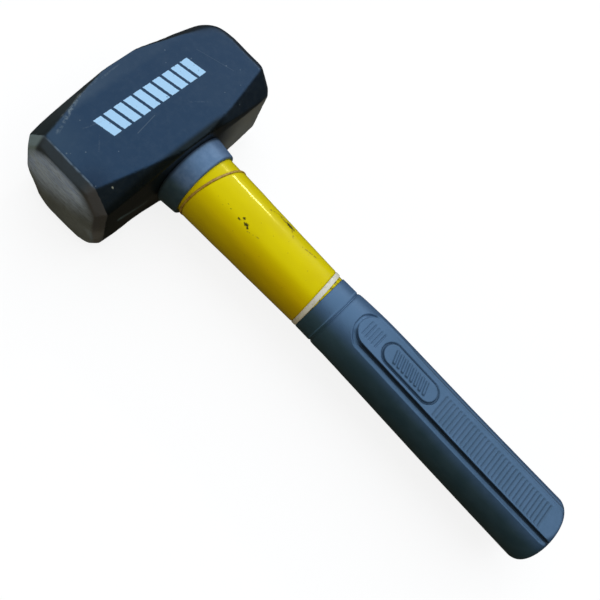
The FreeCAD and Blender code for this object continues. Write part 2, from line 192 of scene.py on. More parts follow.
def turned(stations, phi, shape, closed_loop):
    """Vertices and faces of a path of (x, r) points swept to every angle phi.

    shape(x, r, phi) returns displaced x, y, z arrays.  A path that starts and ends on the
    handle line is capped there; a closed loop is joined end to start.
    """
    path = np.asarray(stations, float)
    columns = len(phi)
    body = path if closed_loop else path[1:-1]
    x, angle = np.meshgrid(body[:, 0], phi, indexing="ij")
    r = np.repeat(body[:, 1:2], columns, axis=1)
    verts = np.stack(shape(x, r, angle), -1).reshape(-1, 3)
    poles = np.stack(shape(path[[0, -1], 0], np.zeros(2), np.zeros(2)), -1)
    rows = len(body)
    index = np.arange(rows * columns).reshape(rows, columns)
    last = rows if closed_loop else rows - 1
    faces = []
    for i in range(last):
        a, b = index[i], index[(i + 1) % rows]
        faces += np.stack([a, b, np.roll(b, -1), np.roll(a, -1)], 1).tolist()
    if not closed_loop:
        for row, end in ((0, poles[:1]), (rows - 1, poles[1:])):
            pole = len(verts)
            verts = np.vstack([verts, end])
            ring = index[row]
            ends = np.stack([ring, np.roll(ring, -1), np.full(columns, pole)], 1)
            faces += (ends if row == 0 else ends[:, [1, 0, 2]]).tolist()
    return verts, faces


def even_angles(count):
    """Angles round the handle; 0 is up, 90 degrees is towards +Y."""
    return np.linspace(0, 2 * np.pi, count, endpoint=False)


def shaft_drift(x):
    """The moulded parts wander a little sideways from the straight rod."""
    return np.interp(x, [36, 75, 104, 112, 117, 121, 130, 142, 164, 181, 198, 215, 232, 242],
                     [0, 0.2, 0.45, 0.55, 0.82, 0.92, 1.04, 0.94, 0.50, 0.17, 0, -0.15, -0.24,
                      -0.25])


def placed(x, r, phi, bore=11.0):
    """Point at a radius and angle about the centre line, which drifts outside the bore."""
    drift = np.where(r > bore, shaft_drift(x), 0.0)
    return x, r * np.sin(phi) + drift, AXIS_Z + r * np.cos(phi)


def step(value, start, stop):
    """Smooth step from 0 at start to 1 at stop."""
    t = np.clip((value - start) / (stop - start), 0, 1)
    return t * t * (3 - 2 * t)


def rough_noise(points, size, seed, octaves=2):
    """Fractal noise from -1 to 1 at each point, features about size across."""
    out = np.empty(len(points))
    for k, p in enumerate(points):
        out[k] = noise.fractal(Vector(p / size) + Vector((seed, -seed, seed * 0.5)),
                               1.0, 2.0, octaves)
    return out


def ring_waves(phi, seed, count=5):
    """Smooth wobble round a ring, about -1 to 1."""
    rng = np.random.default_rng(seed)
    total = np.zeros_like(phi)
    for k in range(1, count + 1):
        total += rng.uniform(0.4, 1) * np.sin(k * phi + rng.uniform(0, 2 * np.pi)) / count
    return total


# ------------------------------------------------------------------ head
class Skin:
    """Evenly meshed copy of a closed surface, with the tools to age it a little."""

    def __init__(self, source, voxel):
        rough = bpy.data.objects.new("rough", source.data.copy())
        bpy.context.scene.collection.objects.link(rough)
        remesh = rough.modifiers.new("even_mesh", "REMESH")
        remesh.mode, remesh.voxel_size = "VOXEL", voxel * MM
        graph = bpy.context.evaluated_depsgraph_get()
        mesh = bpy.data.meshes.new_from_object(rough.evaluated_get(graph))
        bpy.data.objects.remove(rough)
        self.points = self.read(mesh.vertices, "co") / MM
        self.normals = self.read(mesh.vertices, "normal")
        ends = np.zeros(len(mesh.edges) * 2, int)
        mesh.edges.foreach_get("vertices", ends)
        self.ends = ends.reshape(-1, 2)
        self.valence = np.bincount(ends, minlength=len(self.points)).astype(float)
        self.faces = [list(p.vertices) for p in mesh.polygons]

    @staticmethod
    def read(items, name):
        values = np.zeros(len(items) * 3)
        items.foreach_get(name, values)
        return values.reshape(-1, 3)

    def average(self, values):
        """Mean of each point's neighbours."""
        a, b = self.ends.T
        total = np.zeros_like(values)
        for axis in range(values.shape[1]):
            total[:, axis] = np.bincount(a, values[b, axis], len(values)) + np.bincount(
                b, values[a, axis], len(values))
        return total / self.valence[:, None]

    def relax(self, weight, times):
        for _ in range(times):
            self.points += (self.average(self.points) - self.points) * weight[:, None]

    def convexity(self, spread):
        """About 1 along a crisp outer edge, 0 on flats, negative in hollows."""
        bend = -np.sum((self.average(self.points) - self.points) * self.normals, 1)
        bend = bend[:, None]
        for _ in range(spread):
            bend = self.average(bend)
        return bend[:, 0] / 0.05


def corner_moves(x, y, height, far_corner):
    """Small differences between the corners of the forging, in millimetres."""
    # the near end is fuller low down, but slimmer low at its outer corner
    low = step(-height, -2.0, 16.0)
    move = np.zeros((len(x), 3))
    move[:, 1] -= 0.8 * low * step(-y, 36.0, 50.0) * step(x, -16.0, -4.0)
    outer_low = step(-x, 10.0, 19.0) * step(-height, 2.0, 12.0) * (1 - step(-height, 17.0, 23.0))
    move[:, 1] += 0.9 * outer_low * step(-y, 38.0, 48.0)
    # the outer side and its upper edge are a little fuller
    move[:, 0] -= (0.7 * step(-x, 12.0, 20.0) * step(-y, -24.0, -6.0)
                   * (1 - 0.7 * step(-y, 40.0, 50.0)))
    move[:, 2] += 0.5 * step(-x, 14.0, 21.0) * step(height, 8.0, 18.0) * (1 - step(-y, 34.0, 44.0))
    # the low corner of the near end beside the handle is hardly bevelled
    low_corner = step(x, 12.0, 20.0) * step(-height, 2.0, 10.0) * step(height, -23.0, -17.0)
    move[:, 1] -= 1.5 * low_corner * step(-y, 40.0, 49.0)
    # the far end is blunt at its outer corner and fuller beside the handle
    move[:, 1] -= 0.5 * far_corner * step(y, 40.0, 48.0)
    move[:, 0] += 0.5 * step(x, 10.0, 19.0) * step(y, 14.0, 24.0)
    move[:, 1] += 0.4 * step(x, 2.0, 12.0) * step(y, 44.0, 50.0)
    # the handle side is slimmer low down, between the collar and the near end
    move[:, 0] -= 1.7 * low * step(x, 15.0, 21.0) * step(y, -46.0, -20.0) * step(-y, 5.0, 12.0)
    return move


# radii of the eye and of the metal kept still round its two mouths, and where those begin
EYE_WALL, MOUTH_RADIUS, MOUTH_START = 14.6, 15.2, 21.0


def build_head(material):
    """Forged head, softly rounded and nicked; nothing is worn away inside its eye."""
    skin = Skin(NODES["hammer_head"], voxel=0.5)
    x, y, z = skin.points.T
    radius = np.hypot(y, z - AXIS_Z)
    eye = (radius < EYE_WALL) & (np.abs(skin.normals[:, 0]) < 0.9)
    free = np.where((radius < MOUTH_RADIUS) & (np.abs(x) > MOUTH_START), 0.0, 1.0)
    skin.relax(0.5 * free, 4)

    # the forging is blunter at one corner of the far end, and a little round both faces
    height = z - AXIS_Z
    far_corner = step(y, 30.0, 46.0) * step(-x, 4.0, 16.0) * step(height, -10.0, 6.0)
    ends = step(np.abs(y), 46.5, 50.0) * np.where(y < 0, 0.02, 0.10)
    skin.relax(0.5 * free * np.clip(far_corner + ends, 0, 1), 170)
    skin.points += corner_moves(x, y, height, far_corner) * free[:, None]

    wave = 0.08 * rough_noise(skin.points, 14.0, 3.0)
    wave += 0.02 * rough_noise(skin.points, 3.0, 9.0)
    push = np.where(eye, 0.0, np.minimum(wave - 0.05, 0.0)) * free
    edge = skin.convexity(2)
    nick = rough_noise(skin.points, 2.2, 21.0, 3)
    push -= 0.28 * np.clip(edge, 0, 1) * step(nick, 0.25, 0.6) * free
    points = skin.points + skin.normals * push[:, None]
    points = np.clip(points, np.array(head_low) / MM, np.array(head_high) / MM)
    piece = new_piece("head", points, skin.faces, material, "hammer_head")
    store(piece, "edge", edge)
    return piece


STRIPES = {"first": -26.0, "pitch": 5.25, "count": 10, "share": 0.74, "low": 1.5,
           "high": -8.3, "slant": 0.22}


def stripe_mask(p):
    """Row of plain slanted bars printed across the upper cheek, worn in places."""
    s = STRIPES
    leaning = p.math("SUBTRACT", p.y, p.times(p.x, s["slant"]))
    ragged = p.times(p.math("SUBTRACT", p.noise(0.8, 3.0, offset=11.0), 0.5), 0.5)
    phase = p.math("DIVIDE", p.math("SUBTRACT", p.math("ADD", leaning, ragged), s["first"]),
                   s["pitch"])
    part = p.math("FRACT", phase)
    bar = p.times(p.smooth(part, 0.0, 0.05), p.smooth(part, s["share"], s["share"] + 0.05,
                                                      1.0, 0.0))
    row = p.times(p.smooth(phase, -0.01, 0.0), p.smooth(phase, s["count"] - 0.01,
                                                        s["count"], 1.0, 0.0))
    across = p.math("ADD", p.x, ragged)
    band = p.times(p.smooth(across, s["high"] - 0.1, s["high"] + 0.1),
                   p.smooth(across, s["low"] - 0.1, s["low"] + 0.1, 1.0, 0.0))
    top = p.smooth(p.z, 22.0, 23.0)
    worn = p.smooth(p.noise(1.6, 4.0, offset=13.0), 0.22, 0.34)
    return p.times(bar, row, band, top, worn)


# light scuffs on the cheek: ends in x and y, width, strength
SCUFFS = [((-12.3, -42.0), (-14.6, -36.5), 1.4, 0.5), ((-15.2, -35.0), (-17.6, -30.0), 1.5, 0.9),
          ((-18.0, -29.0), (-20.2, -24.0), 1.6, 0.8), ((-20.0, -24.0), (-21.6, -14.0), 1.0, 0.4),
          ((-20.8, -12.0), (-21.8, -2.0), 0.8, 0.3),
          ((-8.0, -33.0), (-5.5, -22.0), 0.7, 0.2), ((3.0, -35.0), (-2.0, -30.0), 0.6, 0.22),
          ((8.0, 10.0), (13.0, 17.0), 0.6, 0.2)]

# colours of the head, as linear red, green and blue
NAVY, THIN_NAVY = (0.0045, 0.0070, 0.0090), (0.0065, 0.0095, 0.0125)
DUST, MOTTLE = (0.012, 0.015, 0.016), (0.020, 0.025, 0.026)
# paler tones for the outer side and the near end of the head
OUTER_PALE_TONE, NEAR_PALE_TONE = (0.055, 0.068, 0.070), (0.020, 0.027, 0.027)
PRINT, SCUFFED, CHIPPED = (0.42, 0.66, 0.88), (0.19, 0.22, 0.21), (0.42, 0.45, 0.38)
# painted shadow round the collar, painted teal reflection beside it and painted reflection of the
# floor beyond it
SHADED, TEAL_REFLECTION, FLOOR_REFLECTION = (0.002, 0.003, 0.003), (0.10, 0.15, 0.15), (0.29, 0.29, 0.27)
# shaded and lit tones of the ground steel: painted shade and painted reflection
SHADED_STEEL = ((0.145, 0.165, 0.165), (0.19, 0.215, 0.22))
LIT_STEEL = ((0.44, 0.58, 0.88), (0.54, 0.70, 1.0))
# painted highlight on the grinding streaks, and the colour of the dark grinding lines
STREAK_HIGHLIGHT, GROUND_LINE = (0.66, 0.80, 1.0), (0.06, 0.06, 0.06)
# painted light and shade: a tone for each bevel by the way it faces
BEVEL_LIGHT_AND_SHADE = {"cheek": (0.049, 0.060, 0.067), "handle side": (0.082, 0.080, 0.077),
         "low": (0.125, 0.120, 0.108), "outer side": (0.25, 0.33, 0.345)}
# worn edge with a painted highlight, and where the near bevel begins
WORN_EDGE_HIGHLIGHT, BEVEL_LINE = (0.14, 0.19, 0.24), 46.6


def navy_coat(p, blotch, cloud):
    """Satin blue-black paint, a little uneven, paler towards the outer side and the near end."""
    coat = p.mix(p.smooth(blotch, 0.35, 0.7), NAVY, THIN_NAVY)
    coat = p.mix(p.times(p.smooth(cloud, 0.45, 0.7), 0.5), coat, DUST)
    mottle = p.noise(2.4, 5.0, offset=8.0)
    coat = p.mix(p.smooth(mottle, 0.40, 0.75, 0.0, 0.45), coat, MOTTLE)
    outer = p.times(p.smooth(p.x, -15.0, -19.0), p.smooth(p.y, 10.0, -40.0, 0.25, 1.0), 0.6)
    coat = p.mix(outer, coat, OUTER_PALE_TONE)
    near = p.times(p.smooth(p.y, -28.0, -44.0), p.smooth(p.x, 2.0, -10.0, 0.35, 1.0), 0.8)
    coat = p.mix(near, coat, NEAR_PALE_TONE)
    return p.mix(stripe_mask(p), coat, PRINT)


def cheek_wear(p):
    """Scuffs beside one long edge of the cheek, rubbed edges, two scratches and specks."""
    edge = p.attribute("edge")
    flecks = p.noise(1.3, 4.0, stretch=(1, 2.2, 1), offset=17.0)
    where = p.times(p.smooth(p.y, -42.0, -34.0), p.smooth(p.y, -12.0, -2.0, 1.0, 0.0),
                    p.smooth(p.x, -6.0, -12.0), p.smooth(p.z, 16.0, 22.0))
    scuff = p.times(where, p.smooth(edge, 0.05, 0.5), p.smooth(flecks, 0.52, 0.66), 0.5)
    broken = p.smooth(p.noise(1.1, 6.0, roughness=0.7, offset=6.0), 0.42, 0.62)
    streaks = [p.times(p.line_mark(start, stop, width), broken, amount)
               for start, stop, width, amount in SCUFFS]
    everywhere = p.times(p.smooth(edge, 0.35, 0.8), p.smooth(flecks, 0.62, 0.72), 0.5)
    top = p.smooth(p.z, 22.5, 23.2)
    scratch = p.times(p.line_mark((6.0, -17.4), (4.0, -6.3), 0.35), top, 0.35)
    hair = p.times(p.line_mark((-9.0, 30.0), (8.0, 36.0), 0.2), top, 0.25)
    speck = p.times(p.smooth(p.spots(5.0, 3.0), 0.05, 0.08, 1.0, 0.0), 0.6)
    return p.times(p.most(scuff, *streaks, everywhere, scratch, hair, speck), 0.7)


def handle_side_marks_and_painted_light(p, coat, shaded, cloud):
    """One chip, painted shadow round the collar, a painted teal reflection strip near it and a
    painted reflection of the floor beyond it.
    """
    chip = p.times(p.line_mark((16.9, -40.5), (17.1, -40.4), 0.6), p.smooth(p.z, 19.0, 21.0))
    coat = p.mix(p.times(chip, 0.8), coat, CHIPPED)
    # painted shadow round the collar
    coat = p.mix(p.times(shaded, 0.8), coat, SHADED)
    # painted teal reflection strip in the shade beside the collar
    reflection_strip = p.times(p.line_mark((-39.0, -0.5), (-23.5, -5.0), 2.4, across="yz"), shaded,
                  p.smooth(cloud, 0.3, 0.6, 0.6, 1.0))
    coat = p.mix(p.times(reflection_strip, 0.8), coat, TEAL_REFLECTION)
    # painted reflection of the floor on the handle side beyond the collar
    floor_reflection = p.times(p.smooth(p.x, 20.0, 21.6), p.smooth(p.y, 13.0, 32.0),
                    p.smooth(p.z, 14.0, 11.5), p.smooth(p.z, 12.0, -6.0, 0.8, 1.0),
                    p.smooth(cloud, 0.2, 0.6, 0.7, 1.0))
    return p.mix(floor_reflection, coat, FLOOR_REFLECTION)


def bare_mask(p, reach):
    """1 where the ends are ground bare; the far end keeps its paint over the bevel."""
    ragged = p.times(p.math("SUBTRACT", p.noise(2.5, 4.0, offset=2.0), 0.5), 0.9)
    painted = p.smooth(p.y, -1.0, 1.0, 0.0, 3.4)
    ground = p.math("SUBTRACT", p.math("ADD", reach, ragged), painted)
    return p.smooth(ground, BEVEL_LINE - 0.2, BEVEL_LINE + 0.2)


def ground_steel(p, reach, brushed):
    """Brushed steel with a painted reflection that lights it high on the face and along its
    streaks, and a tone of painted light and shade for each bevel round it.
    """
    stain = p.smooth(p.noise(12.0, 3.0, offset=7.0), 0.3, 0.7)
    # painted reflection: lighter high on the face, dimmer towards the handle side
    light = p.times(p.smooth(p.math("ADD", p.z, p.times(p.x, -0.5)), -9.0, 15.0),
                    p.smooth(p.x, 8.0, 15.0, 1.0, 0.5))
    steel = p.mix(light, p.mix(stain, *SHADED_STEEL), p.mix(stain, *LIT_STEEL))
    streaks = p.smooth(p.noise(2.2, 4.0, stretch=(6, 1, 1), offset=12.0), 0.42, 0.62)
    # painted highlight along the streaks where the face is lit
    steel = p.mix(p.times(streaks, light, 0.8), steel, STREAK_HIGHLIGHT)
    steel = p.mix(p.times(p.smooth(brushed, 0.45, 0.75), 0.45), steel, GROUND_LINE)
    # painted light and shade: a tone for each bevel by the way it faces
    bevel = p.mix(p.smooth(p.x, 8.0, 15.0), BEVEL_LIGHT_AND_SHADE["cheek"], BEVEL_LIGHT_AND_SHADE["handle side"])
    bevel = p.mix(p.smooth(p.z, 3.0, -6.0), bevel, BEVEL_LIGHT_AND_SHADE["low"])
    bevel = p.mix(p.smooth(p.x, -13.5, -16.0), bevel, BEVEL_LIGHT_AND_SHADE["outer side"])
    return p.mix(p.smooth(reach, 50.2, 50.9), bevel, steel)


def worn_edge_highlight_mask(p):
    """Thin bright line, worn paint with a painted highlight, where the cheek meets the near bevel.
    """
    off = p.math("ABSOLUTE", p.math("ADD", p.y, BEVEL_LINE))
    return p.times(p.smooth(off, 0.5, 0.15), p.smooth(p.z, 20.5, 21.5),
                   p.smooth(p.noise(2.5, 3.0, offset=19.0), 0.35, 0.6, 0.15, 1.0),
                   p.smooth(p.x, -20.0, -5.0, 0.3, 1.0), p.smooth(p.x, 15.0, 11.0), 0.8)


def head_paint():
    """Navy paint with its wear, painted shade and painted reflections over ground steel ends."""
    p = Paint("navy_paint_on_steel")
    grain, blotch = p.noise(0.5, 2.0), p.noise(9.0, 4.0)
    cloud = p.noise(26.0, 3.0, offset=4.0)
    brushed = p.noise(0.35, 3.0, stretch=(7, 1, 1.5), offset=5.0)
    reach = p.math("ABSOLUTE", p.y)
    # painted shadow round the collar on the handle side of the head
    shaded = p.times(p.smooth(p.x, 19.0, 21.5), p.smooth(p.y, 20.0, 12.0))
    coat = p.mix(cheek_wear(p), navy_coat(p, blotch, cloud), SCUFFED)
    coat = handle_side_marks_and_painted_light(p, coat, shaded, cloud)
    bare = bare_mask(p, reach)
    colour = p.mix(bare, coat, ground_steel(p, reach, brushed))
    # worn edge with a painted highlight
    colour = p.mix(worn_edge_highlight_mask(p), colour, WORN_EDGE_HIGHLIGHT)
    rough = p.value_mix(bare, p.smooth(grain, 0.2, 0.8, 0.36, 0.46),
                        p.smooth(brushed, 0.3, 0.8, 0.32, 0.5))
    p.feed(p.shader.inputs["Metallic"], p.times(bare, 0.12))
    # the sheen is blue, dimmed as painted shade at the low corner of the cheek and round the
    # collar
    low_cheek = p.times(p.smooth(p.y, -34.0, -46.0), p.smooth(p.x, 0.0, 13.0))
    tint = p.mix(low_cheek, (0.21, 0.50, 1.0), (0.11, 0.29, 0.66))
    p.feed(p.shader.inputs["Specular Tint"], p.mix(shaded, tint, (0.08, 0.14, 0.18)))
    p.bump((grain, 0.04), (blotch, 0.10), (p.times(brushed, bare), 0.03))
    return p.finish(colour, rough, IOR=1.5, Specular_IOR_Level=0.75)


def plain_paint(name, colour, roughness):
    """One colour with a fine grain and slightly darker clouds."""
    p = Paint(name)
    grain = p.noise(0.6, 3.0)
    darker = [c * 0.8 for c in colour]
    shade = p.mix(p.smooth(p.noise(6.0, 4.0), 0.35, 0.7, 0.0, 0.6), colour, darker)
    p.bump((grain, 0.03))
    return p.finish(shade, p.smooth(grain, 0.2, 0.8, roughness - 0.05, roughness + 0.08))


# ------------------------------------------------------------------ grip
GRIP_START = 104.2
SEAT_RADIUS, SEAT_END = 12.4, 230.0
BUTT_RADIUS, RIM, RIM_CORNER, DOME_RISE = 16.3, 241.2, 4.8, 0.8
# flat panel on each broad side: tip, half width, and heights along the grip
PANEL_TIP, GUTTER_TIP, GUTTER_HALF = 122.1, 120.5, 9.7
STATIONS = [120.0, 132.0, 145.0, 205.0, 233.0]
PANEL_HALF = [6.9, 7.0, 7.05, 7.4, 7.4]
PANEL_HEIGHT = [14.75, 14.45, 14.25, 14.6, 14.6]
LEDGE_HEIGHT = [12.0, 12.05, 12.1, 12.5, 12.7]
RIB_START, RIB_PITCH, RIBS, RIB_HALF = 170.0, 2.07, 31, 6.0
TOP_RIB_START, TOP_RIB_PITCH, TOP_RIBS = 125.9, 1.9, 5
BADGE = (136.4, 167.0, 5.0)
BARS = (141.5, 161.5, 2.5)


def stadium_distance(x, y, tip, half, end=1e3):
    """Signed distance to a long slot outline with round ends; negative inside."""
    first, last = tip + half, end - half
    nearest = np.clip(x, first, last)
    return np.hypot(x - nearest, y) - half


def groove_row(x, start, pitch, count, width):
    """0 on the plain panel, 1 at the bottom of each groove of a row."""
    k = np.clip(np.round((x - start) / pitch), 0, count - 1)
    off = np.abs(x - (start + k * pitch))
    return np.clip(1 - off / (width / 2), 0, 1)


def slot_half(x, tip, half):
    """Half width at each x of a slot outline with a round tip; 0 before the tip."""
    back = np.clip(tip + half - x, 0, half)
    return np.where(x > tip, np.sqrt(np.maximum(half ** 2 - back ** 2, 0)), 0.0)


def panel_relief(x, y):
    """Height of the ribs, badge and its plain slanted bars above the flat panel."""
    ribs = groove_row(x, RIB_START, RIB_PITCH, RIBS, 1.9)
    ribs = ribs * (1 - step(np.abs(y + 0.3), RIB_HALF - 0.42, RIB_HALF - 0.18))
    tops = groove_row(x, TOP_RIB_START, TOP_RIB_PITCH, TOP_RIBS, 0.9)
    tops = tops * (1 - step(np.abs(y), 3.9, 4.2))
    badge = stadium_distance(x, y, BADGE[0], BADGE[2], BADGE[1])
    plate = 0.5 * (1 - step(badge, -0.6, -0.3)) - 0.85 * np.exp(-((badge - 0.1) / 0.36) ** 2)
    leaning = (x + 0.35 * y - BARS[0]) / BARS[2]
    bar = 1 - step(np.abs(leaning % 1.0 - 0.5), 0.20, 0.32)
    inside = (leaning > 0) & (leaning < (BARS[1] - BARS[0]) / BARS[2])
    bars = 0.65 * bar * inside * (1 - step(np.abs(y), 2.7, 3.0))
    return -0.35 * ribs - 0.5 * tops, plate + bars


def soft_min(a, b, blend):
    """Smaller of two heights, with a rounded change from one to the other."""
    h = np.clip(0.5 + (b - a) / (2 * blend), 0, 1)
    return b + (a - b) * h - blend * h * (1 - h)


def grip_surface(x, r, phi):
    """Grip outside with its ledges, flat panels, ribs and badge."""
    butt = x > RIM - RIM_CORNER - 0.01
    outside = ((r > SEAT_RADIUS + 1.4) | butt) & (x > 116.0)
    full = np.where(butt, BUTT_RADIUS, r)
    up, across = np.maximum(np.abs(np.cos(phi)), 1e-3), np.maximum(np.abs(np.sin(phi)), 1e-3)
    height = np.interp(x, STATIONS, PANEL_HEIGHT)
    half = slot_half(x, PANEL_TIP, np.interp(x, STATIONS, PANEL_HALF))
    half = half - 0.3 * step(-np.sin(phi), 0.1, 0.3)
    # ledge beside the panel, shallow round the tip, with a fine line along one side
    y = full * np.sin(phi)
    deep = step(np.abs(y), 3.0, 6.0) * step(x, 120.5, 129.0)
    deep = np.maximum(deep, step(half - np.abs(y), -0.3, 0.2) * (half > 0.1))
    ledge = np.minimum(full, np.interp(x, STATIONS, LEDGE_HEIGHT) / up)
    floor = (full - 0.85) * (1 - deep) + ledge * deep
    inside = 1 - step(np.abs(y) - slot_half(x, GUTTER_TIP, GUTTER_HALF), -0.3, 0.1)
    base = full + (floor - full) * inside * step(x, GUTTER_TIP, GUTTER_TIP + 0.5)
    base -= 0.45 * np.exp(-((y - 10.0) / 0.45) ** 2) * step(x, 140.0, 160.0)
    base -= 0.15 * step(-np.sin(phi), 0.5, 0.9) * step(x, 116.0, 122.0)
    # panel, with its relief read at the point where each ray leaves it
    y = np.tan(np.clip(phi_fold(phi), -1.2, 1.2)) * height
    ribs, badge = panel_relief(x, y)
    top = (height + ribs + np.where(np.cos(phi) > 0, badge, 0.0)) / up
    panel = soft_min(top, half / across, 0.25)
    section = np.maximum(base, np.where(half > 0.1, panel, 0.0))
    blend = 0.02 + 0.9 * step(x, RIM - RIM_CORNER, RIM - 2.0)
    section = np.where(butt, soft_min(r, section, blend), section)
    radius = np.where(outside, section, r)
    # the butt is cut a little askew
    tilt = -0.065 * step(x, 230.0, 240.0) * radius * np.sin(phi)
    return placed(x + tilt, radius, phi, bore=-1.0)


def grip_shade_and_grime(verts):
    """Up to 1 where painted shade and grime darken the recesses: the foot of the panel walls, the
    badge outline, the fine line and the rib grooves.
    """
    x, y, z = np.asarray(verts).T
    y = y - shaft_drift(x)
    off = np.abs(y - 0.15) - np.interp(x, STATIONS, PANEL_HALF)
    low = step(np.interp(x, STATIONS, PANEL_HEIGHT) - np.abs(z - AXIS_Z), 0.1, 0.9)
    foot = low * step(off, -0.5, -0.1) * (1 - step(off, 0.5, 1.3)) * step(x, 124.0, 130.0)
    badge = stadium_distance(x, y, BADGE[0], BADGE[2], BADGE[1])
    outline = 0.8 * np.exp(-((badge - 0.1) / 0.4) ** 2) * (z > AXIS_Z)
    line = 0.9 * np.exp(-((y - 9.8) / 0.55) ** 2) * step(x, 140.0, 160.0)
    ribs = 0.65 * groove_row(x, RIB_START, RIB_PITCH, RIBS, 1.9) * (np.abs(y + 0.3) < RIB_HALF)
    return np.maximum(np.maximum(foot, ribs), np.maximum(outline, line))


def phi_fold(phi):
    """Angle from the nearer of the two broad sides, from -90 to 90 degrees."""
    turned_in = (phi + np.pi / 2) % np.pi - np.pi / 2
    return np.where(np.cos(phi) < 0, -turned_in, turned_in)


def grip_path():
    """Half outline of the grip from the bottom of its bore round to the butt."""
    profile = [(104.2, 14.15), (104.35, 14.32), (104.7, 14.4), (108.0, 14.43), (112.2, 14.5),
               (112.6, 14.42), (112.9, 14.12), (113.2, 14.12), (113.6, 14.5), (114.4, 14.72),
               (115.4, 14.8), (120.0, 14.98), (126.0, 15.18), (134.0, 15.4), (160.0, 15.63),
               (200.0, 15.98), (RIM - RIM_CORNER - 0.2, BUTT_RADIUS)]
    xs = np.concatenate([np.arange(104.2, 104.8, 0.1), np.arange(104.8, 112.0, 0.6),
                         np.arange(112.0, 114.6, 0.12), np.arange(114.6, 168.6, 0.3),
                         np.arange(168.6, 234.0, RIB_PITCH / 8),
                         np.arange(234.0, RIM - RIM_CORNER, 0.3)])
    px, pr = np.array(profile).T
    outside = [(x, float(np.interp(x, px, pr))) for x in xs]
    for k in range(1, 15):
        a = math.radians(90 * k / 14)
        outside.append((RIM - RIM_CORNER + RIM_CORNER * math.sin(a),
                        BUTT_RADIUS - RIM_CORNER * (1 - math.cos(a))))
    flat = BUTT_RADIUS - RIM_CORNER
    dome = [(RIM + DOME_RISE * (1 - (r / flat) ** 2), r)
            for r in np.linspace(flat - 0.2, 0.6, 16)]
    bore = [(SEAT_END, 0.0), (SEAT_END, SEAT_RADIUS)]
    bore += [(x, SEAT_RADIUS) for x in np.linspace(SEAT_END, GRIP_START, 60)[1:]]
    face = [(GRIP_START, r) for r in (13.0, 13.6)]
    return bore + face + outside + dome + [(RIM + DOME_RISE, 0.0)]


def grip_angles():
    """Columns round the grip, closer together at the four panel walls."""
    quarter = np.concatenate([np.linspace(0, 22, 18, endpoint=False),
                              np.linspace(22, 34, 28, endpoint=False),
                              np.linspace(34, 45, 10, endpoint=False),
                              np.linspace(45, 90, 28, endpoint=False)])
    half = np.unique(np.concatenate([quarter, [90.0], 180 - quarter]))
    both = np.concatenate([half, 360 - half])
    return np.radians(np.unique(np.round(both, 6))[:-1])


# ------------------------------------------------------------------ shaft pieces
WRAP_START, WRAP_SKEW = 38.9, math.tan(math.radians(12.5))
WRAP_END, RING_SKEW, RING_WIDTH = 100.9, -math.tan(math.radians(4.0)), 2.3
WRAP_RADII, WRAP_WALL = (15.9, 14.35), 0.35
HEAD_SIDE, COLLAR_END, NECK_START, NECK_RADIUS = 23.4, 33.6, 15.0, 15.55
ROD_END, ROD_RADIUS = 226.0, 10.0


def wrap_radius(x):
    """Outside radius of the yellow wrap."""
    top, low = WRAP_RADII
    return top - (x - WRAP_START) * (top - low) / (WRAP_END - WRAP_START)


def jacket_radius(x):
    """Outside radius of the moulded jacket under the wrap."""
    bend, kink = WRAP_START - 4.0, WRAP_START + 2.0
    slant = wrap_radius(x) - WRAP_WALL
    blend = np.clip((x - bend) / (kink - bend), 0, 1)
    return np.where(x > kink, slant, NECK_RADIUS + (wrap_radius(kink) - WRAP_WALL
                                                    - NECK_RADIUS) * blend)


def build_jacket(material):
    """Moulded yellow jacket from the head to the far end of its seat in the grip."""
    steps = np.arange(COLLAR_END + 1.0, GRIP_START, 1.0)
    path = [(ROD_END, 0.0)]
    path += [(x, ROD_RADIUS) for x in np.linspace(ROD_END, HEAD_SIDE, 40)]
    path += [(HEAD_SIDE, NECK_START), (COLLAR_END, NECK_RADIUS)]
    path += [(x, float(jacket_radius(x))) for x in steps]
    path += [(GRIP_START, float(jacket_radius(GRIP_START))), (GRIP_START, SEAT_RADIUS)]
    path += [(x, SEAT_RADIUS) for x in np.linspace(GRIP_START, SEAT_END, 50)[1:]]
    verts, faces = turned(path + [(SEAT_END, 0.0)], even_angles(144), placed, False)
    return new_piece("jacket", verts, faces, material, "shaft_jacket")


def build_wrap(material):
    """Thin glossy wrap with two leaning ends, slightly wavy where it was stretched on."""
    count = 96
    along = np.linspace(0, 1, count)
    lip = 0.05 + 0.28 * np.sqrt(np.clip(np.minimum(along, 1 - along) / 0.008, 0, 1))
    path = [(t, w) for t, w in zip(along, lip)] + [(t, 0.0) for t in along[::-1]]

    def shape(t, wall, phi):
        y = 15.4 * np.sin(phi)
        start = WRAP_START + WRAP_SKEW * y + 0.12 * ring_waves(phi, 4)
        stop = WRAP_END + RING_SKEW * y - 0.05
        x = start + t * (stop - start)
        ripple = 0.035 * np.sin(x * 0.35 + 2 * np.sin(phi)) * np.cos(3 * phi + 0.05 * x)
        lift = np.where(wall > 0, wall + 0.02 + ripple * np.minimum(1, 8 * t * (1 - t)), 0.0)
        return placed(x, jacket_radius(x) + lift, phi)

    verts, faces = turned(path, even_angles(192), shape, True)
    return new_piece("wrap", verts, faces, material, "shaft_sleeve")


def small_loop(count):
    """Unit circle as a closed path; shape functions turn it into a rounded section."""
    turn = np.linspace(0, 2 * np.pi, count, endpoint=False)
    return [(math.cos(a), math.sin(a)) for a in turn]


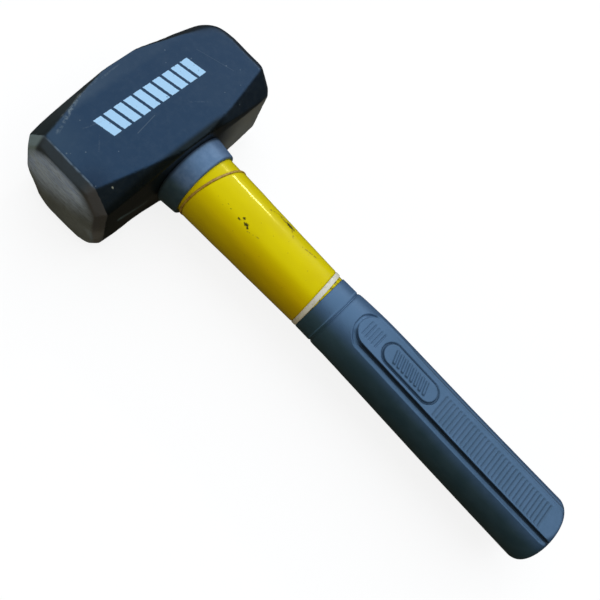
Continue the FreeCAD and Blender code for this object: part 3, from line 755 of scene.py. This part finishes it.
def build_bead(material):
    """Uneven line of adhesive along the top edge of the wrap."""
    def shape(u, v, phi):
        y = 15.6 * np.sin(phi)
        fat = 1 + 0.22 * ring_waves(phi, 8, 9) + 0.7 * np.exp(-((phi - 1.25) / 0.16) ** 2)
        middle = WRAP_START - 0.4 + WRAP_SKEW * y + 0.14 * ring_waves(phi, 5, 7)
        x = middle + 0.54 * fat * u
        return placed(x, jacket_radius(x) + 0.28 + 0.34 * fat * v, phi)

    verts, faces = turned(small_loop(14), even_angles(288), shape, True)
    return new_piece("adhesive_bead", verts, faces, material, "sleeve_bead")


def build_ring(material):
    """White ring, squarish with rounded lips, closing the lower end of the wrap."""
    def shape(u, v, phi):
        y = 14.6 * np.sin(phi)
        flat = np.maximum(np.abs(u), np.abs(v)) ** 0.55
        middle = WRAP_END + RING_WIDTH / 2 + RING_SKEW * y
        half = RING_WIDTH / 2 * (1 + 0.03 * ring_waves(phi, 12))
        x = middle + half * np.sign(u) * np.abs(u) ** 0.6
        x = np.minimum(x, GRIP_START - 0.1)
        lift = 0.24 + 0.24 * np.sign(v) * np.abs(v) ** 0.7 * flat
        return placed(x, jacket_radius(x) + np.maximum(lift, 0.0), phi)

    verts, faces = turned(small_loop(20), even_angles(192), shape, True)
    return new_piece("white_ring", verts, faces, material, "end_ring")


def collar_painted_shade(verts):
    """Painted shade: 1 in the crease against the head, less over the flank towards the near face.
    """
    x, y, _ = np.asarray(verts).T
    crease = 1 - step(x, HEAD_SIDE + 0.6, HEAD_SIDE + 1.8)
    shaded_flank = 0.5 * step(-y, 11.0, 16.0)
    return np.maximum(crease, shaded_flank)


def build_collar(material):
    """Flared rubber collar with a soft lip towards the wrap."""
    low, top, lip = 17.3, 18.2, 0.9
    edge = COLLAR_END - lip
    path = [(x, float(np.interp(x, (HEAD_SIDE, edge), (top, low))))
            for x in np.linspace(HEAD_SIDE, edge, 20)]
    path += [(edge + lip * math.sin(a), low - lip * (1 - math.cos(a)))
             for a in np.radians(np.arange(12, 91, 12))]
    path += [(COLLAR_END, 16.2), (COLLAR_END, NECK_RADIUS)]
    path += [(x, float(np.interp(x, (HEAD_SIDE, COLLAR_END), (NECK_START, NECK_RADIUS))))
             for x in np.linspace(COLLAR_END, HEAD_SIDE, 12)[1:]]
    path += [(HEAD_SIDE, r) for r in (15.8, 16.8, 17.6)]

    def shape(x, r, phi):
        soft = (r > NECK_RADIUS + 0.4) & (x > HEAD_SIDE + 0.3)
        bulge = 0.10 * ring_waves(phi, 31, 4) * step(x, HEAD_SIDE, HEAD_SIDE + 3.0)
        slack = np.where(soft & (x > edge - 0.2), 0.12 * ring_waves(phi, 32), 0.0)
        end = np.minimum(x + slack, COLLAR_END)
        sag = 0.5 * np.exp(-((phi - math.radians(252)) / 0.35) ** 2)
        return placed(end, r + np.where(soft, bulge + sag - 0.08, 0.0), phi)

    verts, faces = turned(path, even_angles(160), shape, True)
    piece = new_piece("collar", verts, faces, material, "head_collar")
    # painted shade in the crease and on the near flank, kept for the paint
    store(piece, "shade_and_grime", collar_painted_shade(verts))
    return piece


# chips through the wrap: station, angle in degrees, half length, half width;
# smears on it: ends in x and y, width
CHIPS = [(56.6, -25.0, 0.7, 0.35), (57.9, -19.0, 0.6, 0.5), (60.4, -23.5, 1.1, 0.6),
         (61.8, -26.0, 0.5, 0.4), (49.0, -21.0, 0.4, 0.22), (46.9, -19.5, 0.3, 0.2),
         (51.2, -23.5, 0.35, 0.2), (72.6, 39.0, 2.3, 1.1), (90.3, -6.0, 0.6, 0.3)]
CHIP_RADIUS = 15.4
SMEARS = [((62.0, 7.4), (68.0, 10.6), 0.9),
          ((66.0, 9.6), (70.0, 9.2), 1.2), ((74.5, 8.4), (77.5, 5.4), 0.7),
          ((83.0, 5.9), (90.0, 7.6), 0.7), ((62.5, -7.6), (68.0, -6.2), 0.45)]


def chip_mask(p, ragged, size=1.0):
    """1 inside the chips listed above, with ragged outlines."""
    chips = []
    for x, angle, length, width in CHIPS:
        a = math.radians(angle)
        y, z = CHIP_RADIUS * math.sin(a), CHIP_RADIUS * math.cos(a)
        off = p.add("VectorMath", {0: p.centred, 1: (x, y, z)}, operation="SUBTRACT").outputs[0]
        off = p.add("VectorMath", {0: off, 1: (1 / length, 1 / width, 1 / width)},
                    operation="MULTIPLY").outputs[0]
        far = p.add("VectorMath", {0: off}, operation="LENGTH").outputs["Value"]
        chips.append(p.smooth(p.math("ADD", far, ragged), 0.85 * size, 1.05 * size, 1.0, 0.0))
    return p.most(*chips)


# colours of the yellow parts, as linear red, green and blue
YELLOW, DULL_YELLOW = (0.69, 0.575, 0.0025), (0.64, 0.52, 0.004)
STRIP_YELLOW, YELLOW_SHEEN = (0.80, 0.67, 0.0015), (1.0, 0.86, 0.03)


def yellow_plastic(p, shade):
    """Yellow, a little cloudy, lighter along one strip, with painted shade low on the near side.
    """
    bright, dull, strip_tone = [[c * shade for c in tone]
                           for tone in (YELLOW, DULL_YELLOW, STRIP_YELLOW)]
    cloud = p.noise(14.0, 3.0, stretch=(2, 1, 1), offset=6.0)
    colour = p.mix(p.smooth(cloud, 0.4, 0.7), bright, dull)
    # lighter along one strip on the upper near side
    pale_strip = p.times(p.smooth(p.y, -13.5, -10.5), p.smooth(p.y, -3.0, -7.0),
                    p.smooth(p.z, 0.0, 4.0), 0.7)
    colour = p.mix(pale_strip, colour, strip_tone)
    # painted shade: darker low on the near side, more so towards the grip
    shaded_flank = p.times(p.smooth(p.x, 36.0, 92.0, 0.45, 1.0), p.smooth(p.y, -4.0, -12.0))
    return p.mix(shaded_flank, colour, p.mix(1.0, colour, (0.82, 0.70, 0.6), "MULTIPLY"))


def wrap_paint():
    """Glossy yellow wrap with smears, specks and dark chips in their darker halos."""
    p = Paint("yellow_wrap_paint")
    colour = yellow_plastic(p, 1.0)
    smear = p.times(p.most(*[p.line_mark(*mark) for mark in SMEARS]), p.smooth(p.z, 0.0, 4.0),
                    p.smooth(p.noise(0.9, 3.0, offset=2.5), 0.40, 0.56))
    colour = p.mix(p.times(smear, 0.7), colour, (0.24, 0.16, 0.02))
    specks = p.times(p.smooth(p.spots(3.2, 8.0), 0.05, 0.09, 1.0, 0.0), 0.5)
    colour = p.mix(specks, colour, (0.30, 0.22, 0.02))
    ragged = p.times(p.math("SUBTRACT", p.noise(0.45, 4.0, offset=9.0), 0.5), 3.0)
    halo = chip_mask(p, ragged, 1.35)
    colour = p.mix(p.times(halo, 0.45), colour, (0.30, 0.23, 0.01))
    hole = chip_mask(p, ragged)
    colour = p.mix(hole, colour, (0.030, 0.028, 0.010))
    gloss = p.smooth(p.noise(0.6, 3.0), 0.2, 0.8, 0.10, 0.17)
    p.bump((p.noise(6.0, 2.0), 0.05), (p.math("SUBTRACT", 1.0, hole), 0.12))
    p.feed(p.shader.inputs["Specular Tint"], YELLOW_SHEEN)
    return p.finish(colour, p.value_mix(hole, gloss, 0.6), Specular_IOR_Level=0.5)


def jacket_paint():
    """Yellow jacket, a little darker than the wrap, with painted shade and grime where it meets
    the grip.
    """
    p = Paint("yellow_jacket_paint")
    fine = p.noise(0.6, 3.0)
    # painted shade and grime where the jacket meets the grip
    shade_and_grime = p.times(p.smooth(p.x, 96.0, 104.0), p.smooth(p.noise(1.2, 4.0), 0.5, 0.6))
    colour = p.mix(shade_and_grime, yellow_plastic(p, 0.93), (0.05, 0.045, 0.01))
    p.bump((fine, 0.02))
    p.feed(p.shader.inputs["Specular Tint"], YELLOW_SHEEN)
    return p.finish(colour, p.smooth(fine, 0.2, 0.8, 0.14, 0.22), Specular_IOR_Level=0.5)


def rubber_paint(name, colour, worn, size=7.0, head_end_light=0.0):
    """Satin rubber with a faint bloom and a fine moulded grain, painted light towards the head end
    where asked for, painted shade low on the near flank, and painted shade with grime in its
    recesses.
    """
    p = Paint(name)
    grain, bloom = p.noise(0.45, 2.0), p.noise(size, 5.0, offset=3.0)
    streak = p.noise(2.0, 4.0, stretch=(6, 1, 1), offset=1.0)
    shade = p.mix(p.smooth(bloom, 0.35, 0.7), colour, worn)
    shade = p.mix(p.times(p.smooth(streak, 0.55, 0.75), 0.3), shade, worn)
    # painted light: lighter towards the head end of the grip
    shade = p.mix(p.smooth(p.x, 112.0, 150.0, head_end_light, 0.0), shade, [c * 1.5 for c in worn])
    p.bump((grain, 0.03), (bloom, 0.06))
    # painted shade: darker low on the near flank
    shaded_flank = p.times(p.smooth(p.z, 13.0, 8.5), p.smooth(p.y, -3.0, -9.0))
    shade = p.mix(shaded_flank, shade, p.mix(1.0, shade, (0.60, 0.64, 0.45), "MULTIPLY"))
    # painted shade, with grime on the grip, in the recesses read from the mesh; it also dims the
    # sheen there
    shade = p.mix(p.times(p.attribute("shade_and_grime"), 0.75), shade, (0.006, 0.008, 0.009))
    tint = p.mix(p.smooth(p.attribute("shade_and_grime"), 0.7, 1.0), (0.38, 0.66, 1.0), (0.10, 0.15, 0.20))
    p.feed(p.shader.inputs["Specular Tint"], tint)
    return p.finish(shade, p.smooth(grain, 0.2, 0.8, 0.42, 0.54), IOR=1.6,
                    Specular_IOR_Level=1.0)


def ring_paint():
    """Off-white ring with faint yellowish dirt."""
    p = Paint("white_ring_paint")
    dirt = p.smooth(p.noise(1.5, 4.0, offset=5.0), 0.52, 0.66)
    colour = p.mix(p.times(dirt, 0.35), (0.68, 0.66, 0.56), (0.40, 0.33, 0.12))
    p.bump((p.noise(0.6, 2.0), 0.03))
    return p.finish(colour, p.smooth(dirt, 0.0, 1.0, 0.35, 0.55))


def bead_paint():
    """Lumpy dried glue."""
    p = Paint("bead_paint")
    lumps = p.noise(1.4, 3.0)
    colour = p.mix(p.smooth(lumps, 0.4, 0.65), (0.46, 0.30, 0.035), (0.30, 0.15, 0.02))
    p.bump((lumps, 0.08))
    return p.finish(colour, 0.42)


# ------------------------------------------------------------------ lights and camera
DOME = {"from": 0.40, "to": 0.92, "dark": (0.024, 0.021, 0.014), "bright": (0.92, 0.97, 1.03),
        "strength": 1.75}


def softbox(name, direction, distance, width, height, power, colour):
    """Rectangular lamp that lies in a direction from the middle of the hammer and faces it."""
    data = bpy.data.lights.new(name, "AREA")
    data.shape, data.size, data.size_y = "RECTANGLE", width, height
    data.energy, data.color = power, colour
    light = bpy.data.objects.new(name, data)
    bpy.context.scene.collection.objects.link(light)
    aim = Vector((0.09, 0.0, 0.02))
    toward = Vector(direction).normalized()
    light.location = aim + toward * distance
    light.rotation_euler = (-toward).to_track_quat("-Z", "Y").to_euler()
    return light


def glowing_paint(name, glow, colour, roughness):
    """Matt paint with a white glow of its own."""
    p = Paint(name)
    p.feed(p.shader.inputs["Emission Color"], (1.0, 1.0, 1.0))
    p.feed(p.shader.inputs["Emission Strength"], glow)
    return p.finish(colour, roughness)


def stage_piece(name, verts, faces, material, hidden_from):
    """Mesh in metres that is no part of the hammer, left out by some kinds of ray."""
    mesh = bpy.data.meshes.new(name)
    mesh.from_pydata(verts, [], faces)
    mesh.materials.append(material)
    piece = bpy.data.objects.new(name, mesh)
    bpy.context.scene.collection.objects.link(piece)
    for ray in hidden_from:
        setattr(piece, "visible_" + ray, False)


def build_stage():
    """Pale floor, and a pale bowl behind everything that only the camera sees."""
    size, curve, columns = 3.0, 0.3, 64
    corners = [(-size, -size), (size, -size), (size, size), (-size, size)]
    stage_piece("floor", [(x, y, -0.0003) for x, y in corners], [(0, 1, 2, 3)],
                glowing_paint("pale_floor", 0.85, (0.15, 0.15, 0.15), 0.9),
                ("diffuse", "glossy"))
    foot = size * 0.9
    rings = [(foot + curve * math.sin(a), curve * (1 - math.cos(a)))
             for a in np.radians(range(0, 91, 15))] + [(foot + curve, size * 1.2)]
    verts = [(r * math.cos(a), r * math.sin(a), h + 0.001)
             for r, h in rings for a in even_angles(columns)]
    faces = []
    for low in range(0, columns * (len(rings) - 1), columns):
        for j in range(columns):
            k = (j + 1) % columns
            faces.append((low + j, low + k, low + columns + k, low + columns + j))
    stage_piece("backdrop", verts, faces,
                glowing_paint("pale_backdrop", 0.95, (0.0, 0.0, 0.0), 1.0),
                ("diffuse", "glossy", "transmission", "shadow"))


def build_lights():
    """Soft sky-like dome leaning towards +Y, a weak warm fill and one bright strip."""
    world = bpy.data.worlds.new("studio")
    world.use_nodes = True
    tree = world.node_tree
    background = tree.nodes["Background"]
    direction = tree.nodes.new("ShaderNodeTexCoord").outputs["Generated"]
    lean = tree.nodes.new("ShaderNodeVectorMath")
    lean.operation = "DOT_PRODUCT"
    tree.links.new(direction, lean.inputs[0])
    lean.inputs[1].default_value = Vector((-0.05, 0.42, 0.91)).normalized()
    ramp = tree.nodes.new("ShaderNodeValToRGB")
    tree.links.new(lean.outputs["Value"], ramp.inputs[0])
    ramp.color_ramp.interpolation = "EASE"
    low, high = ramp.color_ramp.elements
    low.position, low.color = DOME["from"], (*DOME["dark"], 1.0)
    high.position, high.color = DOME["to"], (*DOME["bright"], 1.0)
    tree.links.new(ramp.outputs[0], background.inputs["Color"])
    background.inputs["Strength"].default_value = DOME["strength"]
    bpy.context.scene.world = world
    fill = softbox("fill", (0.10, -0.9, 0.30), distance=1.2, width=1.0, height=0.5,
                   power=3.1, colour=(1.0, 0.84, 0.57))
    fill.visible_glossy = False
    softbox("strip", (-0.165, 0.88, 0.42), distance=1.0, width=0.085, height=0.03,
            power=0.8, colour=(1.0, 1.0, 0.97))


def build_camera():
    """Camera that matches the photo: lens, place and turn."""
    data = bpy.data.cameras.new("camera")
    data.sensor_width, data.lens = 36.0, 47.77
    camera = bpy.data.objects.new("camera", data)
    camera.location = (0.10357, -0.15577, 0.32922)
    camera.rotation_euler = Euler([math.radians(a) for a in (19.4629, -17.8994, 43.1805)])
    bpy.context.scene.collection.objects.link(camera)
    bpy.context.scene.camera = camera


# ------------------------------------------------------------------ put together
bpy.context.scene.view_settings.view_transform = "Standard"
build_head(head_paint())
verts, faces = turned(grip_path(), grip_angles(), grip_surface, False)
grip = new_piece("rubber_grip", verts, faces,
                 rubber_paint("grip_rubber_paint", (0.028, 0.060, 0.112),
                              (0.038, 0.074, 0.138), head_end_light=0.5), "grip")
# painted shade and grime in the grip's recesses, kept for the paint
store(grip, "shade_and_grime", grip_shade_and_grime(verts))
build_collar(rubber_paint("collar_rubber_paint", (0.060, 0.105, 0.19), (0.090, 0.142, 0.24), 3.0))
build_bead(bead_paint())
build_wrap(wrap_paint())
build_ring(ring_paint())
build_jacket(jacket_paint())

CARRIED = {
    "shaft_rod": plain_paint("glass_fibre", (0.60, 0.55, 0.30), 0.6),
    "eye_resin": plain_paint("cast_resin", (0.02, 0.02, 0.022), 0.3),
}
for node, material in CARRIED.items():
    NODES[node].data.materials.clear()
    NODES[node].data.materials.append(material)

build_stage()
build_lights()
build_camera()
